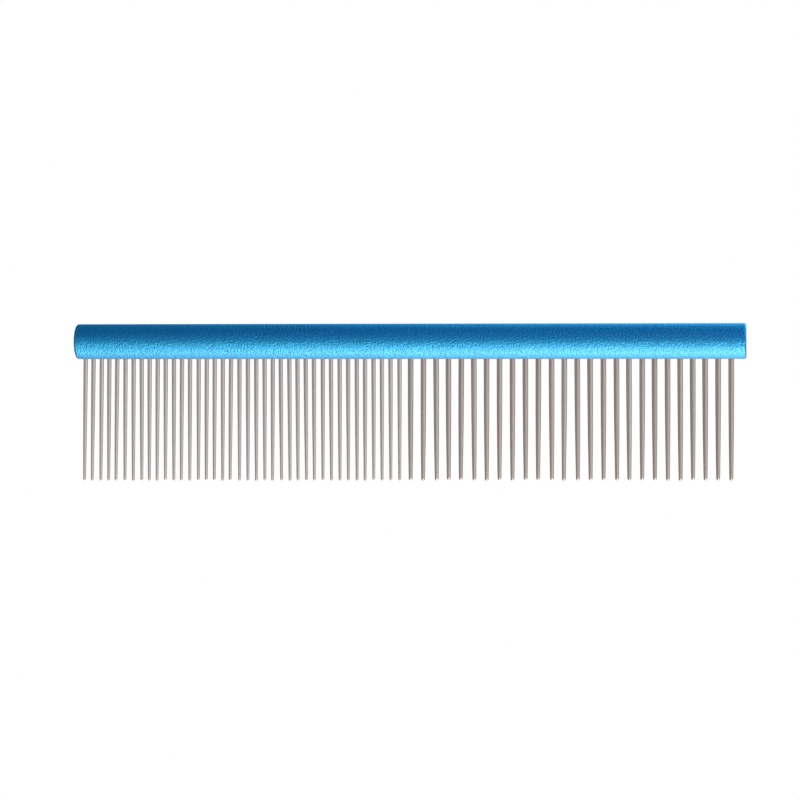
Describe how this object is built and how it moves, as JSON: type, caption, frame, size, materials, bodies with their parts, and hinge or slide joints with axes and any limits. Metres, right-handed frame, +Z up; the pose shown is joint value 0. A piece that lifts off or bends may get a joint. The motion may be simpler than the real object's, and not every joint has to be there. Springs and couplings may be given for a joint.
{
  "type": "grooming comb",
  "caption": "Pet grooming comb: a round anodised aluminium spine with tapered steel pins, close-set at one end and wide-set at the other, for combing out a coat.",
  "frame": {"origin": "on the table, at the middle of the footprint of the comb lying down as it comes to rest", "axes": "+X along the spine from the fine end to the coarse end, the pins point to -Y and dip to the table, +Z up"},
  "size_m": [0.19, 0.044, 0.01],
  "materials": {
    "spine_blue": "bead-blasted and dyed blue by anodising, satin",
    "pin_steel": "drawn wire, ground to a taper and polished at the tip"
  },
  "bodies": {
    "root": {"spine": "spine_blue", "fine_pin_01": "pin_steel", "fine_pin_02": "pin_steel", "fine_pin_03": "pin_steel", "fine_pin_04": "pin_steel", "fine_pin_05": "pin_steel", "fine_pin_06": "pin_steel", "fine_pin_07": "pin_steel", "fine_pin_08": "pin_steel", "fine_pin_09": "pin_steel", "fine_pin_10": "pin_steel", "fine_pin_11": "pin_steel", "fine_pin_12": "pin_steel", "fine_pin_13": "pin_steel", "fine_pin_14": "pin_steel", "fine_pin_15": "pin_steel", "fine_pin_16": "pin_steel", "fine_pin_17": "pin_steel", "fine_pin_18": "pin_steel", "fine_pin_19": "pin_steel", "fine_pin_20": "pin_steel", "fine_pin_21": "pin_steel", "fine_pin_22": "pin_steel", "fine_pin_23": "pin_steel", "fine_pin_24": "pin_steel", "fine_pin_25": "pin_steel", "fine_pin_26": "pin_steel", "fine_pin_27": "pin_steel", "fine_pin_28": "pin_steel", "fine_pin_29": "pin_steel", "fine_pin_30": "pin_steel", "fine_pin_31": "pin_steel", "fine_pin_32": "pin_steel", "fine_pin_33": "pin_steel", "fine_pin_34": "pin_steel", "fine_pin_35": "pin_steel", "fine_pin_36": "pin_steel", "fine_pin_37": "pin_steel", "fine_pin_38": "pin_steel", "fine_pin_39": "pin_steel", "coarse_pins_01_02": "pin_steel", "coarse_pins_03_04": "pin_steel", "coarse_pins_05_06": "pin_steel", "coarse_pins_07_08": "pin_steel", "coarse_pins_09_10": "pin_steel", "coarse_pins_11_12": "pin_steel", "coarse_pins_13_14": "pin_steel", "coarse_pins_15_16": "pin_steel", "coarse_pins_17_18": "pin_steel", "coarse_pins_19_20": "pin_steel", "coarse_pins_21_22": "pin_steel", "coarse_pins_23_24": "pin_steel", "coarse_pins_25_26": "pin_steel"}
  },
  "joints": []
}
